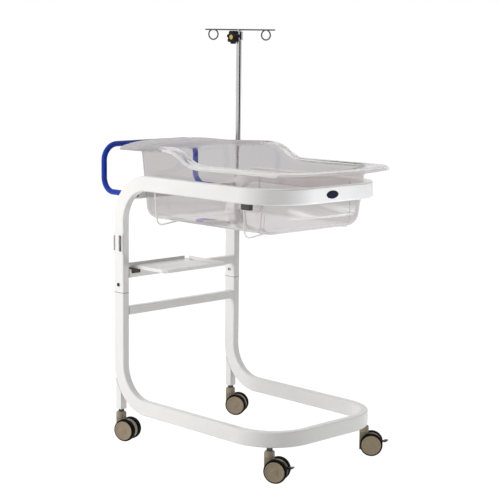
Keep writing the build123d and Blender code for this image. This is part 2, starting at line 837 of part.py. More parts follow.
def make_iv_socket():
    bore = pole_radius + socket_gap
    outer = bore + iv_socket_wall
    bottom = pole_bottom - socket_gap - iv_socket_floor
    tube = rod(outer, (pole_x, pole_y, bottom), (pole_x, pole_y, iv_socket_top))
    middle_y = (iv_plate_front + pole_y) / 2
    face = (frame_width / 2 + iv_plate_thickness, middle_y, (bottom + iv_socket_top) / 2)
    width = pole_y - iv_plate_front
    plate = pill(width, iv_socket_top - bottom, iv_plate_thickness, iv_plate_corner, face)
    socket = tube + plate
    hole_bottom = pole_bottom - socket_gap
    top = (pole_x, pole_y, iv_socket_top + cut_overrun)
    socket = socket - rod(bore, (pole_x, pole_y, hole_bottom), top)
    inside = span(
        (frame_width / 2 - tube_width, 2 * iv_plate_front, bottom - cut_overrun),
        (frame_width / 2, -2 * iv_plate_front, iv_socket_top + cut_overrun),
    )
    socket = socket - inside
    for y, z in iv_bolt_places:
        start = (frame_width / 2 - cut_overrun, y, z)
        end = (frame_width / 2 + iv_plate_thickness + cut_overrun, y, z)
        socket = socket - rod(bolt_radius + weld_gap, start, end)
    return socket


def make_iv_bolt(y, z):
    face = (frame_width / 2 + iv_plate_thickness, y, z)
    return cap_bolt(face, (-1, 0, 0), iv_plate_thickness + tube_wall + nut_height)


def make_pole_tube():
    outer = rod(pole_radius, (pole_x, pole_y, pole_bottom), (pole_x, pole_y, pole_top))
    floor_top = (pole_x, pole_y, pole_bottom + pole_wall)
    tube = outer - rod(pole_radius - pole_wall, floor_top, (pole_x, pole_y, pole_top + cut_overrun))
    return tube - stud_hole()


def stud_hole():
    start = (pole_x, pole_y, knob_z)
    end = (pole_x - collar_radius - cut_overrun, pole_y, knob_z)
    return rod(knob_stud_radius + knob_stud_clearance, start, end)


def make_pole_collar():
    collar = rod(collar_radius, (pole_x, pole_y, collar_bottom), (pole_x, pole_y, pole_top))
    collar = chamfer(collar.edges().filter_by(GeomType.CIRCLE), collar_edge)
    bore_bottom = (pole_x, pole_y, collar_bottom - cut_overrun)
    collar = collar - rod(pole_radius + weld_gap, bore_bottom, (pole_x, pole_y, pole_top + cut_overrun))
    return collar - stud_hole()


def hanger_direction():
    turn = radians(hanger_turn)
    return Vector(sin(turn), -cos(turn), 0)


def make_pole_rod():
    radius = pole_radius - pole_wall - rod_gap
    body = rod(radius, (pole_x, pole_y, rod_bottom), (pole_x, pole_y, hanger_z))
    along = hanger_direction() * (2 * pole_radius)
    centre = Vector(pole_x, pole_y, hanger_z)
    groove = rod(hanger_radius + weld_gap, tuple(centre - along), tuple(centre + along))
    return body - groove


def make_hanger():
    """Bent wire: a bar across the rod with a full turn hanging under each end and a straight tail."""
    along = hanger_direction()
    up = Vector(0, 0, 1)
    across = up.cross(along)
    centre = Vector(pole_x, pole_y, hanger_z)
    sway = hanger_loop_shift / 4
    fall = sqrt(hanger_loop_radius**2 - sway**2)
    down = across * sway - up * fall
    back = across * sway + up * fall
    edges = [Line(centre - along * hanger_loop_reach, centre + along * hanger_loop_reach)]
    for end in (-1, 1):
        heading = along * end
        start = centre + heading * hanger_loop_reach
        bottom = start + down * 2
        first_middle = start + down + heading * hanger_loop_radius
        second_middle = bottom + back - heading * hanger_loop_radius
        closing = bottom + back * 2
        edges.append(ThreePointArc(start, first_middle, bottom))
        edges.append(ThreePointArc(bottom, second_middle, closing))
        edges.append(Line(closing, closing + heading * hanger_tail))
    path = Wire(edges)
    tail_start = centre - along * (hanger_loop_reach + hanger_tail) + across * hanger_loop_shift
    section = Plane(origin=tail_start, z_dir=along) * Circle(hanger_radius)
    return sweep(section, path=path)


# Star knob, turning about an axis along -X
knob_rear_x = pole_x - collar_radius - knob_collar_gap
knob_body_x = knob_rear_x - knob_hub_depth
knob_front_x = knob_body_x - knob_depth


def make_star_knob():
    plane = Plane(origin=(knob_body_x, pole_y, knob_z), x_dir=(0, 1, 0), z_dir=(-1, 0, 0))
    outline = Circle(knob_core_radius)
    lobe_reach = knob_radius - knob_lobe_radius
    for lobe in range(knob_lobes):
        turn = radians(90 + 360 * lobe / knob_lobes)
        outline = outline + Pos(lobe_reach * cos(turn), lobe_reach * sin(turn)) * Circle(knob_lobe_radius)
    body = extrude(plane * outline, amount=knob_depth)
    body = fillet(body.faces().sort_by(Axis.X)[0].edges(), knob_rounding)
    body = body + rod(knob_hub_radius, (knob_rear_x, pole_y, knob_z), (knob_body_x, pole_y, knob_z))
    seat_start = (knob_front_x - cut_overrun, pole_y, knob_z)
    body = body - rod(knob_cap_radius + weld_gap, seat_start, (knob_front_x + knob_cap_depth, pole_y, knob_z))
    stud_end = (knob_rear_x - knob_stud_grip, pole_y, knob_z)
    body = body - rod(knob_stud_radius + weld_gap, (knob_rear_x + cut_overrun, pole_y, knob_z), stud_end)
    return body


def make_knob_cap():
    start = (knob_front_x + knob_cap_depth, pole_y, knob_z)
    cap = rod(knob_cap_radius, start, (knob_front_x - knob_cap_proud, pole_y, knob_z))
    return fillet(cap.faces().sort_by(Axis.X)[0].edges(), knob_cap_proud)


def make_knob_stud():
    rod_surface = pole_x - (pole_radius - pole_wall - rod_gap)
    start = (rod_surface - stud_tip_gap, pole_y, knob_z)
    return rod(knob_stud_radius, start, (knob_rear_x - knob_stud_grip, pole_y, knob_z))


# All pieces by node name
pieces = {
    "base_frame": make_base_tube(),
    "top_frame": make_top_tube(),
    "joint_sleeves": group([make_joint_sleeve(side) for side in (-1, 1)]),
    "joint_bolts": group([make_joint_bolt(side) for side in (-1, 1)]),
    "joint_nuts": group([make_joint_nut(side) for side in (-1, 1)]),
    "top_crossbar": make_top_crossbar(),
    "shelf_crossbar": make_crossbar(shelf_bar_z),
    "lower_crossbar": make_crossbar(lower_bar_z),
    "rear_posts": group([make_rear_post(x, y) for x, y in rear_stems]),
    "front_stem_sockets": group([make_front_socket(x, y) for x, y in front_stems]),
    "rear_stem_sockets": group([make_rear_socket(x, y) for x, y in rear_stems]),
    "caster_stems": group([make_caster_stem(x, y) for x, y in front_stems + rear_stems]),
    "push_handle": make_push_handle(),
    "handle_plugs": group([make_handle_plug(side) for side in (-1, 1)]),
    "handle_bolts": group([make_handle_bolt(side) for side in (-1, 1)]),
    "cradle_rear": make_cradle(rear_wire_top_y, rear_wire_y),
    "cradle_front": make_cradle(front_wire_top_y, front_wire_y),
    "cradle_clips": group([make_cradle_clip(side) for side in (-1, 1)]),
    "slot_plate": make_slot_plate(),
    "badge": make_badge(),
    "iv_socket": make_iv_socket(),
    "iv_socket_bolts": group([make_iv_bolt(y, z) for y, z in iv_bolt_places]),
    "tub": make_tub(),
    "tray": make_tray(),
    "tray_clips": group([make_tray_clip(x) for x in tray_clip_xs]),
    "tray_screws": group([make_tray_screw(x, y) for x, y in tray_screw_places()]),
    "pole_tube": make_pole_tube(),
    "pole_collar": make_pole_collar(),
    "pole_rod": make_pole_rod(),
    "hanger": make_hanger(),
    "star_knob": make_star_knob(),
    "knob_cap": make_knob_cap(),
    "knob_stud": make_knob_stud(),
}

caster_places = {
    "front_left": (front_stems[0], front_left_caster_turn, True),
    "front_right": (front_stems[1], front_right_caster_turn, True),
    "rear_left": (rear_stems[0], rear_left_caster_turn, False),
    "rear_right": (rear_stems[1], rear_right_caster_turn, False),
}
for name, (stem, turn, with_pedal) in caster_places.items():
    pieces[f"{name}_hood"] = place_caster(make_hood(with_pedal), stem, turn)
    pieces[f"{name}_axle"] = place_caster(make_axle(), stem, turn)
    for wheel, side in (("inner", 1), ("outer", -1)):
        pieces[f"{name}_{wheel}_tyre"] = place_caster(make_tyre(side), stem, turn)
        pieces[f"{name}_{wheel}_hub"] = place_caster(make_wheel_hub(side), stem, turn)
    if with_pedal:
        pieces[f"{name}_pedal"] = place_caster(make_pedal(), stem, turn)

# The origin goes to the floor under the middle of the whole box.
whole_box = Compound(children=[Compound(children=shape.solids()) for shape in pieces.values()]).bounding_box()
shift = Vector(
    -(whole_box.min.X + whole_box.max.X) / 2,
    -(whole_box.min.Y + whole_box.max.Y) / 2,
    -whole_box.min.Z,
)

os.makedirs("parts", exist_ok=True)
for node, shape in pieces.items():
    export_step(Pos(shift.X, shift.Y, shift.Z) * shape, f"parts/{node}.step")
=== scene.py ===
"""Hospital bassinet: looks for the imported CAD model, laid out as an add-on and run as a script."""

import json
import math

import bpy
from mathutils import Matrix, Vector


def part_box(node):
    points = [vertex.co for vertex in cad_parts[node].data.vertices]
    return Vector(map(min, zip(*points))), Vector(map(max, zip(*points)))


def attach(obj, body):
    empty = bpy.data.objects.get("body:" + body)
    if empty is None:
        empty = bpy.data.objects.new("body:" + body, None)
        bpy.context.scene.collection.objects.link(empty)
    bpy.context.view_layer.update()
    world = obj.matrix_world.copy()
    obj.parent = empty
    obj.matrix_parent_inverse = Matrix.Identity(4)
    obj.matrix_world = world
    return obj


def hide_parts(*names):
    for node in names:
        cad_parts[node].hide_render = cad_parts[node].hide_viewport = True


bl_info = {
    "name": "Hospital bassinet",
    "version": (1, 0, 0),
    "blender": (4, 5, 0),
    "location": "View3D > Sidebar > Bassinet",
    "description": "Clear tub, paint, chrome and casters of a hospital bassinet",
    "category": "Object",
}

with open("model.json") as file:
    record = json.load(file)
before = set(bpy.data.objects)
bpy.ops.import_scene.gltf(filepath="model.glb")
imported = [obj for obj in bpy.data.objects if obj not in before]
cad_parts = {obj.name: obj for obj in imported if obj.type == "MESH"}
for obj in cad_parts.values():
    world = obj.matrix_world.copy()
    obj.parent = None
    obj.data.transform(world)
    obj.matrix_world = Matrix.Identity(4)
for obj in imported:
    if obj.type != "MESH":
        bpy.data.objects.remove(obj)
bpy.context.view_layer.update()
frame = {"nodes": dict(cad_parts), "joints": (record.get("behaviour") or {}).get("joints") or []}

MM = 0.001
MICRON = 0.000001
CASTERS = ("front_left", "front_right", "rear_left", "rear_right")


def drawing_shift():
    """Offset from the drawing's origin, the frame's middle at the uprights' rear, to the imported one."""
    low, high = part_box("base_frame")
    return Vector(((low.x + high.x) / 2, high.y, 0))


# Shader writing


class Value:
    """A number on a shader socket, so that plain Python sums become Math nodes."""

    def __init__(self, shader, socket):
        self.shader = shader
        self.socket = socket

    def calc(self, operation, *others, clamp=False):
        inputs = {0: self}
        inputs.update(enumerate(others, start=1))
        return self.shader.add("ShaderNodeMath", {"operation": operation, "use_clamp": clamp}, inputs)

    def __add__(self, other):
        return self.calc("ADD", other)

    __radd__ = __add__

    def __sub__(self, other):
        return self.calc("SUBTRACT", other)

    def __rsub__(self, other):
        return (self * -1) + other

    def __mul__(self, other):
        return self.calc("MULTIPLY", other)

    __rmul__ = __mul__

    def __truediv__(self, other):
        return self.calc("DIVIDE", other)

    def __pow__(self, other):
        return self.calc("POWER", other)

    def clamped(self):
        return self.calc("ADD", 0.0, clamp=True)

    def above(self, edge, width):
        """0 under the edge and 1 over it, over a soft width."""
        return ((self - edge) / width).clamped()


class Shader:
    """One procedural material, or the world's shader if the world is given."""

    def __init__(self, name, world=None):
        self.material = world or bpy.data.materials.new(name)
        self.material.use_nodes = True
        self.tree = self.material.node_tree
        self.tree.nodes.clear()
        self.place = self.add("ShaderNodeTexCoord", {}, {}, "Object")
        self.normal = None

    def add(self, kind, settings, inputs, output=0):
        """A node with its settings and its socket values or links. Gives the named output as a Value."""
        node = self.tree.nodes.new(kind)
        for key, setting in settings.items():
            setattr(node, key, setting)
        for key, item in inputs.items():
            if isinstance(item, Value):
                self.tree.links.new(item.socket, node.inputs[key])
            elif item is not None:
                node.inputs[key].default_value = item
        return Value(self, node.outputs[output])

    def noise(self, scale, detail=2.0, stretch=None, roughness=0.5):
        """Cloudy noise on the object's own coordinates, stretched along an axis whose share is small."""
        place = self.place
        if stretch:
            place = self.add("ShaderNodeMapping", {}, {"Vector": place, "Scale": stretch})
        inputs = {"Vector": place, "Scale": scale, "Detail": detail, "Roughness": roughness}
        return self.add("ShaderNodeTexNoise", {}, inputs, "Fac")

    def mix(self, share, first, second):
        """Colour between two colours by a share. The Mix node's colour sockets go by their numbers."""
        factor, colour_a, colour_b, result = 0, 6, 7, 2
        inputs = {factor: share, colour_a: first, colour_b: second}
        return self.add("ShaderNodeMix", {"data_type": "RGBA"}, inputs, result)

    def bump(self, height, distance, strength):
        """Adds a relief of a depth in metres to the reliefs that the shader has."""
        inputs = {"Height": height, "Distance": distance, "Strength": strength}
        if self.normal is not None:
            inputs["Normal"] = self.normal
        self.normal = self.add("ShaderNodeBump", {}, inputs, "Normal")

    def finish(self, **inputs):
        """Ends the material in one Principled shader, whose constants are set on its own sockets."""
        named = {key.replace("_", " "): item for key, item in inputs.items()}
        if self.normal is not None:
            named["Normal"] = self.normal
        surface = self.add("ShaderNodeBsdfPrincipled", {}, named, "BSDF")
        self.add_output(surface)
        return self.material

    def add_output(self, surface, kind="ShaderNodeOutputMaterial"):
        node = self.tree.nodes.new(kind)
        self.tree.links.new(surface.socket, node.inputs["Surface"])


def shade(colour, factor=1.0):
    """The colour made lighter or darker, with its alpha."""
    return (*(channel * factor for channel in colour[:3]), 1.0)


# Values that finishes share. Noise scales are in features to a metre, and reliefs are in metres.

SEAM_HALF_HEIGHT = 1.1 * MM
# Dark grey of the frame's seam line: painted shade standing in for the gap between the two frame halves
SEAM_SHADE = (0.26, 0.25, 0.235, 1.0)
DUST_TONE = (0.34, 0.32, 0.3, 1.0)
# Milky whites of the rim's side lips: a painted highlight
LIP_HIGHLIGHT_TONES = ((0.80, 0.80, 0.79, 1.0), (0.90, 0.90, 0.89, 1.0))
ACRYLIC_IOR = 1.49


def paint_material(name, colour, roughness, coat, peel_depth=60 * MICRON, shine=0.5, seam=None):
    """Powder coat or gloss paint: clouding, orange peel, small changes in gloss, and a thin dark line of
    painted shade at a height, standing in for the shadow in the seam's gap.
    """
    shader = Shader(name)
    cloud = shader.noise(9.0, 3.0)
    fine = shader.noise(1500.0, 2.0)
    peel = shader.noise(420.0, 2.0)
    wear = shader.noise(55.0, 5.0, roughness=0.7).above(0.62, 0.1)
    base = shader.mix(cloud.above(0.3, 0.4), shade(colour, 0.955), shade(colour))
    base = shader.mix(wear * 0.12, base, shade(colour, 0.8))
    # Painted shade: a thin dark line where the two frame halves meet, in place of the shadow in their gap
    if seam is not None:
        height = shader.add("ShaderNodeSeparateXYZ", {}, {"Vector": shader.place}, "Z")
        joint = (height - seam).calc("ABSOLUTE").calc("LESS_THAN", SEAM_HALF_HEIGHT)
        base = shader.mix(joint, base, SEAM_SHADE)
    shader.bump(peel, peel_depth, 0.5)
    shader.bump(fine, 10 * MICRON, 0.4)
    gloss = roughness + fine * 0.05 + wear * 0.08
    return shader.finish(
        Base_Color=base, Roughness=gloss, Specular_IOR_Level=shine, Coat_Weight=coat, Coat_Roughness=0.06
    )


def metal_material(name, colour, roughness, stretch, depth):
    """Plated or turned metal: brush lines along one way, smudges and a faint change of tone."""
    shader = Shader(name)
    lines = shader.noise(700.0, 2.0, stretch)
    smudge = shader.noise(28.0, 4.0, roughness=0.6).above(0.45, 0.3)
    tone = shader.mix(smudge, shade(colour), shade(colour, 0.9))
    shader.bump(lines, depth, 0.35)
    gloss = roughness + lines * roughness * 0.7 + smudge * 0.06
    return shader.finish(Base_Color=tone, Metallic=1.0, Roughness=gloss)


def plastic_material(name, colour, roughness, grain, dust, shine=0.5):
    """Moulded plastic or rubber: fine grain, blotches of dust and a faint change of tone."""
    shader = Shader(name)
    grains = shader.noise(grain, 2.0)
    blotch = shader.noise(38.0, 5.0, roughness=0.65).above(0.48, 0.22)
    tone = shader.mix(shader.noise(14.0, 3.0), shade(colour, 0.85), shade(colour, 1.12))
    tone = shader.mix(blotch * dust, tone, DUST_TONE)
    shader.bump(grains, 40 * MICRON, 0.5)
    gloss = roughness + grains * 0.08 + blotch * 0.1
    return shader.finish(Base_Color=tone, Roughness=gloss, Specular_IOR_Level=shine)


def acrylic_material(name, colour):
    """Clear acrylic sheet: faintly tinted, hazy round the head's rim, with a slight flow and scratches."""
    shader = Shader(name)
    haze = shader.add("ShaderNodeAttribute", {"attribute_name": "haze"}, {}, "Fac")
    flow = shader.noise(6.0, 3.0)
    scratch = shader.noise(160.0, 4.0, (1.0, 0.08, 1.0), 0.6).above(0.66, 0.05)
    tone = shader.mix(flow, shade(colour, 0.985), shade(colour, 1.01))
    tone = shader.mix(haze, tone, shade(colour, 0.97))
    shader.bump(flow, 0.4 * MM, 0.2)
    inputs = {
        "Base Color": tone, "Roughness": 0.015 + scratch * 0.12 + haze * 0.45, "IOR": ACRYLIC_IOR,
        "Transmission Weight": 1.0, "Normal": shader.normal,
    }
    sheet = shader.add("ShaderNodeBsdfPrincipled", {}, inputs, "BSDF")
    clear = shader.add("ShaderNodeBsdfTransparent", {}, {"Color": shade(colour)}, "BSDF")
    shadow = shader.add("ShaderNodeLightPath", {}, {}, "Is Shadow Ray")
    shader.add_output(shader.add("ShaderNodeMixShader", {}, {0: shadow, 1: sheet, 2: clear}, "Shader"))
    return shader.material


def lip_highlight_material(name):
    """Side lips of the acrylic's rim: a milky white painted highlight over partly clear acrylic, with fine
    drawing lines along it.
    """
    shader = Shader(name)
    lines = shader.noise(260.0, 3.0, (1.0, 0.06, 1.0))
    tone = shader.mix(lines.above(0.35, 0.3), *LIP_HIGHLIGHT_TONES)
    shader.bump(lines, 50 * MICRON, 0.4)
    return shader.finish(
        Base_Color=tone, Roughness=0.14 + lines * 0.12, IOR=ACRYLIC_IOR, Transmission_Weight=0.4,
        Coat_Weight=0.2, Coat_Roughness=0.05
    )


# Sizes and colours that a user would change


class BassinetSizes(bpy.types.PropertyGroup):
    """Sizes of the tub and its rim, in the drawing's frame."""

    floor_z: bpy.props.FloatProperty(name="Floor height", description="Top of the tub's floor",
                                     default=0.766, unit="LENGTH")
    half_width: bpy.props.FloatProperty(name="Half width",
                                        description="Half of the inner width at the floor",
                                        default=0.208, unit="LENGTH")
    rear: bpy.props.FloatProperty(name="Head wall", description="Head wall's inner face at the floor",
                                  default=-0.084, unit="LENGTH")
    front: bpy.props.FloatProperty(name="Foot wall", description="Foot wall's inner face at the floor",
                                   default=-0.679, unit="LENGTH")
    corner: bpy.props.FloatProperty(name="Corner radius", description="Radius of the upright corners",
                                    default=0.041, unit="LENGTH")
    edge: bpy.props.FloatProperty(name="Floor edge radius", description="Radius between floor and walls",
                                  default=0.035, unit="LENGTH")
    side_draft: bpy.props.FloatProperty(name="Side draft", description="Lean of the side walls",
                                        default=math.radians(1.0), subtype="ANGLE")
    head_draft: bpy.props.FloatProperty(name="Head draft", description="Lean of the head wall",
                                        default=math.radians(7.0), subtype="ANGLE")
    foot_draft: bpy.props.FloatProperty(name="Foot draft", description="Lean of the foot wall",
                                        default=math.radians(9.0), subtype="ANGLE")
    rim_half_width: bpy.props.FloatProperty(name="Rim half width", description="Half of the rim's width",
                                            default=0.257, unit="LENGTH")
    rim_rear: bpy.props.FloatProperty(name="Rim head end", description="Head end of the rim",
                                      default=0.057, unit="LENGTH")
    rim_front: bpy.props.FloatProperty(name="Rim foot end", description="Foot end of the rim",
                                       default=-0.812, unit="LENGTH")
    thickness: bpy.props.FloatProperty(name="Sheet", description="Thickness of the acrylic",
                                       default=0.004, unit="LENGTH")


class BassinetColours(bpy.types.PropertyGroup):
    """Colours of the finishes."""

    white: bpy.props.FloatVectorProperty(name="Frame paint", description="Powder coat of the frame",
                                         default=(0.80, 0.795, 0.775), subtype="COLOR")
    blue: bpy.props.FloatVectorProperty(name="Handle paint", description="Gloss coat of the push handle",
                                        default=(0.001, 0.03, 0.33), subtype="COLOR")
    acrylic: bpy.props.FloatVectorProperty(name="Acrylic tint", description="Tint of the clear tub",
                                           default=(0.92, 0.895, 0.90), subtype="COLOR")
    wheel: bpy.props.FloatVectorProperty(name="Wheel discs", description="Plastic of the wheel discs",
                                         default=(0.29, 0.228, 0.15), subtype="COLOR")
    hood: bpy.props.FloatVectorProperty(name="Caster hoods", description="Plastic of the caster hoods",
                                        default=(0.28, 0.235, 0.165), subtype="COLOR")


def sizes():
    return bpy.context.scene.bassinet_sizes


def colours():
    return bpy.context.scene.bassinet_colours


def dress(material, *nodes):
    """Gives a material to CAD nodes through their own slots."""
    for node in nodes:
        for slot in frame["nodes"][node].material_slots:
            slot.material = material


def clear_selection():
    if bpy.context.object and bpy.context.object.mode != "OBJECT":
        bpy.ops.object.mode_set(mode="OBJECT")
    bpy.ops.object.select_all(action="DESELECT")


MERGE_DISTANCE = 20 * MICRON


def grid_piece(name, columns, rows, place):
    """A sheet of quads with its points at place(column, row), its last column joined to its first."""
    clear_selection()
    bpy.ops.mesh.primitive_grid_add(
        x_subdivisions=columns, y_subdivisions=rows, size=1.0, location=(0, 0, 0)
    )
    piece = bpy.context.object
    piece.name = name
    piece.data.name = name
    for vertex in piece.data.vertices:
        column = round((vertex.co.x + 0.5) * columns) % columns
        row = round((vertex.co.y + 0.5) * rows)
        vertex.co = place(column, row)
    bpy.ops.object.mode_set(mode="EDIT")
    bpy.ops.mesh.select_all(action="SELECT")
    bpy.ops.mesh.remove_doubles(threshold=MERGE_DISTANCE)
    bpy.ops.object.mode_set(mode="OBJECT")
    return piece


def turned_piece(name, profile, steps):
    """A shape turned about the X axis from a profile of (x, radius) points in millimetres."""
    clear_selection()
    bpy.ops.mesh.primitive_plane_add(size=0.01, location=(0, 0, 0))
    piece = bpy.context.object
    piece.name = name
    piece.data.name = name
    points = [Vector((x * MM, 0, radius * MM)) for x, radius in profile]
    bpy.ops.object.mode_set(mode="EDIT")
    bpy.ops.mesh.select_all(action="SELECT")
    bpy.ops.mesh.merge(type="CENTER")
    bpy.ops.transform.translate(value=points[0])
    for start, end in zip(points, points[1:]):
        bpy.ops.mesh.extrude_region_move(TRANSFORM_OT_translate={"value": end - start})
    bpy.ops.mesh.select_all(action="SELECT")
    bpy.ops.mesh.spin(steps=steps, angle=math.tau, center=(0, 0, 0), axis=(1, 0, 0))
    bpy.ops.mesh.select_all(action="SELECT")
    bpy.ops.mesh.remove_doubles(threshold=MERGE_DISTANCE)
    bpy.ops.mesh.normals_make_consistent(inside=False)
    bpy.ops.object.mode_set(mode="OBJECT")
    return piece


def placed_copy(source, name, matrix):
    """A copy with its own mesh, moved by the matrix, its faces turned outwards."""
    piece = source.copy()
    piece.data = source.data.copy()
    piece.name = name
    piece.data.name = name
    bpy.context.scene.collection.objects.link(piece)
    piece.data.transform(matrix)
    if matrix.determinant() < 0:
        piece.data.flip_normals()
    return piece


def smooth(piece, degrees):
    """Smooth shading, but for edges sharper than an angle."""
    clear_selection()
    piece.select_set(True)
    bpy.context.view_layer.objects.active = piece
    bpy.ops.object.shade_smooth_by_angle(angle=math.radians(degrees))


def step(value, low, high):
    """Smooth step from 0 at low to 1 at high."""
    share = min(max((value - low) / (high - low), 0.0), 1.0)
    return share * share * (3 - 2 * share)


# Tub


def rim_side_height(y):
    """Height of the rim along the sides: high over the head half, an S, then low to the foot."""
    head_y, shoulder_y, low_y, foot_y = 0.062, -0.235, -0.400, -0.817
    head_z, shoulder_z, low_z, foot_z = 0.998, 1.012, 0.963, 0.967
    if y > shoulder_y:
        return head_z + (shoulder_z - head_z) * (head_y - y) / (head_y - shoulder_y)
    if y < low_y:
        return low_z + (foot_z - low_z) * (low_y - y) / (low_y - foot_y)
    fall = shoulder_z - low_z
    run = shoulder_y - low_y
    radius = (run * run + fall * fall) / (4 * fall)
    middle = (shoulder_y + low_y) / 2
    if y > middle:
        across = shoulder_y - y
        return shoulder_z - radius + math.sqrt(radius * radius - across * across)
    across = y - low_y
    return low_z + radius - math.sqrt(radius * radius - across * across)


def rim_height(x, y):
    """Height of the rim's top surface: the sides' line, an arch over the head and a dip at the foot."""
    arch_half_width, arch_start, arch_end, arch_rise = 0.24, -0.07, 0.02, 0.0145
    dip_half_width, dip_depth, lip_share = 0.215, 0.012, 0.2
    dip_start, dip_end, lip_start, lip_end = 0.63, 0.70, 0.73, 0.80
    arch = (1 - min(abs(x) / arch_half_width, 1.0) ** 3) * step(y, arch_start, arch_end)
    dip = (1 - min(abs(x) / dip_half_width, 1.0) ** 2) * step(-y, dip_start, dip_end)
    dip *= 1 - (1 - lip_share) * step(-y, lip_start, lip_end)
    return rim_side_height(y) + arch_rise * arch - dip_depth * dip


# Counts of quads along the tub's outline and up its walls

CORNER_STEPS = 12
END_STEPS = 26
SIDE_STEPS = 60
EDGE_STEPS = 8
WALL_STEPS = 14
SIDE_STARTS = (("right", SIDE_STEPS), ("front", END_STEPS), ("left", SIDE_STEPS), ("rear", END_STEPS))
TUB_COLUMNS = sum(steps for _, steps in SIDE_STARTS) + 4 * CORNER_STEPS


def outline_point(column, half, rear, front, rear_corner, front_corner, rear_bow=0.0, front_bow=0.0):
    """Point of a rounded outline, clockwise from above, from the head end of the side at +X."""
    corner_of = {"right": front_corner, "front": front_corner, "left": rear_corner, "rear": rear_corner}
    for name, steps in SIDE_STARTS:
        if column < steps:
            share = column / steps
            low, high = front + front_corner, rear - rear_corner
            if name == "right":
                return half, high + (low - high) * share
            if name == "left":
                return -half, low + (high - low) * share
            corner = front_corner if name == "front" else rear_corner
            x = (half - corner) * (1 - 2 * share)
            flat = 1 - (x / (half - corner)) ** 2
            if name == "front":
                return x, front - front_bow * flat
            return -x, rear + rear_bow * flat
        column -= steps
        if column < CORNER_STEPS:
            turn = math.pi / 2 * column / CORNER_STEPS
            corner = corner_of[name]
            near, far = corner * math.cos(turn), corner * math.sin(turn)
            if name == "right":
                return half - corner + near, front + corner - far
            if name == "front":
                return -half + corner - far, front + corner - near
            if name == "left":
                return -half + corner - near, rear - corner + far
            return half - corner + far, rear - corner + near
        column -= CORNER_STEPS
    raise ValueError("column outside the outline")


def wall_point(column, height, inset):
    """Point of the inner wall at a height over the floor, drawn in by inset."""
    tub = sizes()
    grown = height + tub.thickness
    half = tub.half_width + grown * math.tan(tub.side_draft) - inset
    rear = tub.rear + grown * math.tan(tub.head_draft) - inset
    front = tub.front - grown * math.tan(tub.foot_draft) + inset
    smallest_corner = 3 * MM
    corner = max(tub.corner - inset, smallest_corner)
    return outline_point(column, half, rear, front, corner, corner)


def rim_point(column, inset):
    """Point of the rim's plan outline, drawn in by inset."""
    tub = sizes()
    bow_rear, bow_front = 0.040, 0.024
    corner_rear, corner_front, corner_inset_share = 0.050, 0.062, 0.6
    return outline_point(
        column,
        tub.rim_half_width - inset,
        tub.rim_rear - bow_rear - inset,
        tub.rim_front + bow_front + inset,
        corner_rear - inset * corner_inset_share,
        corner_front - inset * corner_inset_share,
        bow_rear,
        bow_front,
    )


# Rows of the rim, from the wall outwards. An inner row has its distance from the wall, and an outer row
# its distance from the rim's edge, each with its depth under the rim's top, all in metres.

INNER_ROWS = ((0.0015, 0.0062), (0.0045, 0.0030), (0.009, 0.0012))
BETWEEN_SHARES = (0.33, 0.67)
OUTER_ROWS = (
    (0.020, 0.0), (0.0145, 0.0007), (0.0095, 0.0022), (0.005, 0.0048), (0.0018, 0.0085), (0.0, 0.0155),
)


def tub_rows():
    """The rows of the tub's sheet, from the middle of the floor to the rim's lower edge."""
    rows = [("floor", share) for share in (0.0, 0.25, 0.5, 0.75)]
    rows += [("edge", 90.0 * index / EDGE_STEPS) for index in range(EDGE_STEPS + 1)]
    rows += [("wall", index / WALL_STEPS) for index in range(1, WALL_STEPS + 1)]
    rows += [("inner", offset) for offset in INNER_ROWS]
    rows += [("between", share) for share in BETWEEN_SHARES]
    rows += [("outer", offset) for offset in OUTER_ROWS]
    return rows


def tub_point(column, kind, value):
    """Place of one point of the tub's sheet, in the drawing's frame."""
    tub = sizes()
    if kind == "floor":
        x, y = wall_point(column, 0.0, tub.edge)
        middle = (tub.rear + tub.front) / 2
        return Vector((x * value, middle + (y - middle) * value, tub.floor_z))
    if kind == "edge":
        turn = math.radians(value)
        height = tub.edge * (1 - math.cos(turn))
        x, y = wall_point(column, height, tub.edge * (1 - math.sin(turn)))
        return Vector((x, y, tub.floor_z + height))
    usual_height, rim_drop = 0.22, 0.011
    x, y = wall_point(column, usual_height, 0.0)
    top = rim_height(x, y) - rim_drop - tub.floor_z
    inner_x, inner_y = wall_point(column, top, 0.0)
    if kind == "wall":
        height = tub.edge + (top - tub.edge) * value
        x, y = wall_point(column, height, 0.0)
        return Vector((x, y, tub.floor_z + height))
    inner = Vector((inner_x, inner_y, 0))
    outer = Vector((*rim_point(column, OUTER_ROWS[0][0]), 0))
    way = outer - inner
    if kind == "between":
        reach, start_drop = INNER_ROWS[-1]
        spot = inner + way.normalized() * reach
        spot = spot.lerp(outer, value)
        drop = start_drop * (1 - value)
    elif kind == "inner":
        spot = inner + way.normalized() * value[0]
        drop = value[1]
    else:
        spot = Vector((*rim_point(column, value[0]), 0))
        drop = value[1]
    flatter_share, head_start, head_end = 0.25, -0.15, 0.0
    curl = 1 - flatter_share * step(spot.y, head_start, head_end)
    spot.z = rim_height(spot.x, spot.y) - drop * curl
    return spot


def mark_rim(piece, shift):
    """Writes where the sheet is hazy, round the head's rim, and gives the side lips the material of the
    painted white highlight.
    """
    least_haze, head_start, head_end = 0.2, -0.24, -0.17
    haze_low, haze_full = 0.028, 0.016
    highlight_lip_width, lip_start, highlight_lip_full = 6 * MM, 0.20, 0.30
    haze = piece.data.attributes.new("haze", "FLOAT", "POINT")
    for vertex in piece.data.vertices:
        spot = vertex.co - shift
        top = rim_height(spot.x, spot.y)
        head = least_haze + (1 - least_haze) * step(spot.y, head_start, head_end)
        haze.data[vertex.index].value = head * step(spot.z, top - haze_low, top - haze_full)
    # Side lips towards the foot, from lip_start on, take the second slot: the painted white highlight
    for face in piece.data.polygons:
        spot = face.center - shift
        if sizes().rim_half_width - abs(spot.x) < highlight_lip_width * step(-spot.y, lip_start, highlight_lip_full):
            face.material_index = 1


